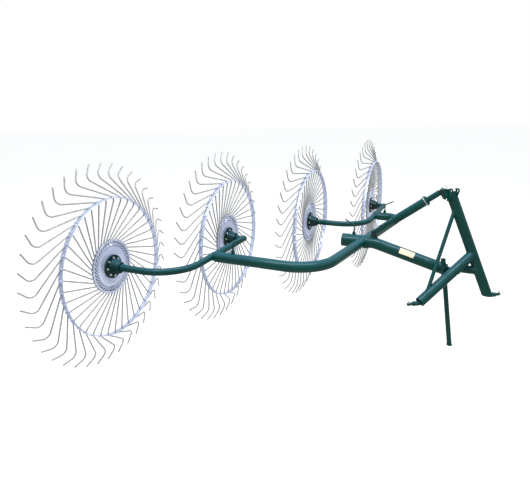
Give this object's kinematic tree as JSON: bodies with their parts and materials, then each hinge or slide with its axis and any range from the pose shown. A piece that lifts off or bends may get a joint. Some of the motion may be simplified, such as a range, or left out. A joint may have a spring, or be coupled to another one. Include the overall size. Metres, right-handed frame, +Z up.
{
  "type": "rotary hay rake",
  "caption": "Three-point hitch finger-wheel hay rake: tined wheels on rocker tubes at both ends of a walking boom, with a tilting headstock, telescopic brace and parking stand.",
  "frame": {"origin": "on the ground, below the middle of the machine's bounding box, as it parks on its wheels and stand", "axes": "+X forward, the way the tractor pulls; +Y to the left, along the lower hitch pins; +Z up"},
  "size_m": [2.5018, 3.4682, 1.3822],
  "materials": {
    "frame_paint": "gloss green paint",
    "tine_steel": "galvanised",
    "hub_paint": "gloss dark green paint",
    "pin_steel": "zinc plated"
  },
  "bodies": {
    "main_frame": {"main_tube": "frame_paint", "brace_lug": "frame_paint", "stand_guide": "frame_paint", "stand_screw": "frame_paint"},
    "boom": {"boom_sleeve": "frame_paint", "front_arm": "frame_paint", "rear_arm": "frame_paint", "boom_screw": "frame_paint", "front_arm_screw": "frame_paint", "rear_arm_screw": "frame_paint"},
    "front_beam": {"front_rocker": "frame_paint", "wheel_1_axle": "pin_steel", "wheel_2_axle": "pin_steel"},
    "rear_beam": {"rear_rocker": "frame_paint", "wheel_3_axle": "pin_steel", "wheel_4_axle": "pin_steel"},
    "headstock": {"long_leg": "frame_paint", "short_leg": "frame_paint", "strut": "frame_paint", "top_ear_left": "frame_paint", "top_ear_right": "frame_paint", "brace_ear_front": "frame_paint", "brace_ear_rear": "frame_paint", "hinge_bracket": "frame_paint", "hinge_pin": "pin_steel", "lower_pin_left": "frame_paint", "lower_pin_right": "frame_paint", "brace_high_pin": "pin_steel"},
    "brace_upper": {"brace_rod": "frame_paint"},
    "brace_lower": {"brace_tube": "frame_paint", "brace_low_pin": "pin_steel"},
    "stand": {"stand_leg": "frame_paint"},
    "wheel_1": {"wheel_1_reel": "tine_steel", "wheel_1_hub": "hub_paint"},
    "wheel_2": {"wheel_2_reel": "tine_steel", "wheel_2_hub": "hub_paint"},
    "wheel_3": {"wheel_3_reel": "tine_steel", "wheel_3_hub": "hub_paint"},
    "wheel_4": {"wheel_4_reel": "tine_steel", "wheel_4_hub": "hub_paint"}
  },
  "joints": [
    {"name": "boom_rock", "type": "hinge", "parent": "main_frame", "child": "boom", "pos_m": [0.62372, 0.64441, 0.69108], "axis": [0.6157, 0.788, 0], "range_deg": [-9, 9]},
    {"name": "front_rocker_pivot", "type": "hinge", "parent": "boom", "child": "front_beam", "pos_m": [0.69815, -0.56786, 0.69108], "axis": [0.6157, 0.788, 0], "range_deg": [-12, 12]},
    {"name": "rear_rocker_pivot", "type": "hinge", "parent": "boom", "child": "rear_beam", "pos_m": [-0.18699, 1.15793, 0.69108], "axis": [0.6157, 0.788, 0], "range_deg": [-12, 12]},
    {"name": "wheel_1_spin", "type": "hinge", "parent": "front_beam", "child": "wheel_1", "pos_m": [0.7565, -1.24035, 0.69108], "axis": [0.6157, 0.788, 0], "continuous": true},
    {"name": "wheel_2_spin", "type": "hinge", "parent": "front_beam", "child": "wheel_2", "pos_m": [0.2315, -0.35302, 0.69108], "axis": [0.6157, 0.788, 0], "continuous": true},
    {"name": "wheel_3_spin", "type": "hinge", "parent": "rear_beam", "child": "wheel_3", "pos_m": [-0.12864, 0.48545, 0.69108], "axis": [0.6157, 0.788, 0], "continuous": true},
    {"name": "wheel_4_spin", "type": "hinge", "parent": "rear_beam", "child": "wheel_4", "pos_m": [-0.65364, 1.37278, 0.69108], "axis": [0.6157, 0.788, 0], "continuous": true},
    {"name": "headstock_tilt", "type": "hinge", "parent": "main_frame", "child": "headstock", "pos_m": [1.04886, 1.18856, 0.52861], "axis": [-0.788, 0.6157, 0], "range_deg": [-4, 4]},
    {"name": "brace_pivot", "type": "hinge", "parent": "headstock", "child": "brace_upper", "pos_m": [0.96359, 1.07942, 1.13461], "axis": [-0.788, 0.6157, 0], "range_deg": [-8, 8]},
    {"name": "brace_slide", "type": "slide", "parent": "brace_upper", "child": "brace_lower", "axis": [0.4881, 0.6248, 0.6094], "range_m": [-0.045, 0.045]},
    {"name": "stand_slide", "type": "slide", "parent": "main_frame", "child": "stand", "axis": [-0.1904, -0.0634, 0.9797], "range_m": [0, 0.3]}
  ],
  "couplings": [
    {"joint": "brace_pivot", "follows": "headstock_tilt", "ratio": -0.55929},
    {"joint": "brace_slide", "follows": "headstock_tilt", "m_per_rad": -0.56477}
  ]
}
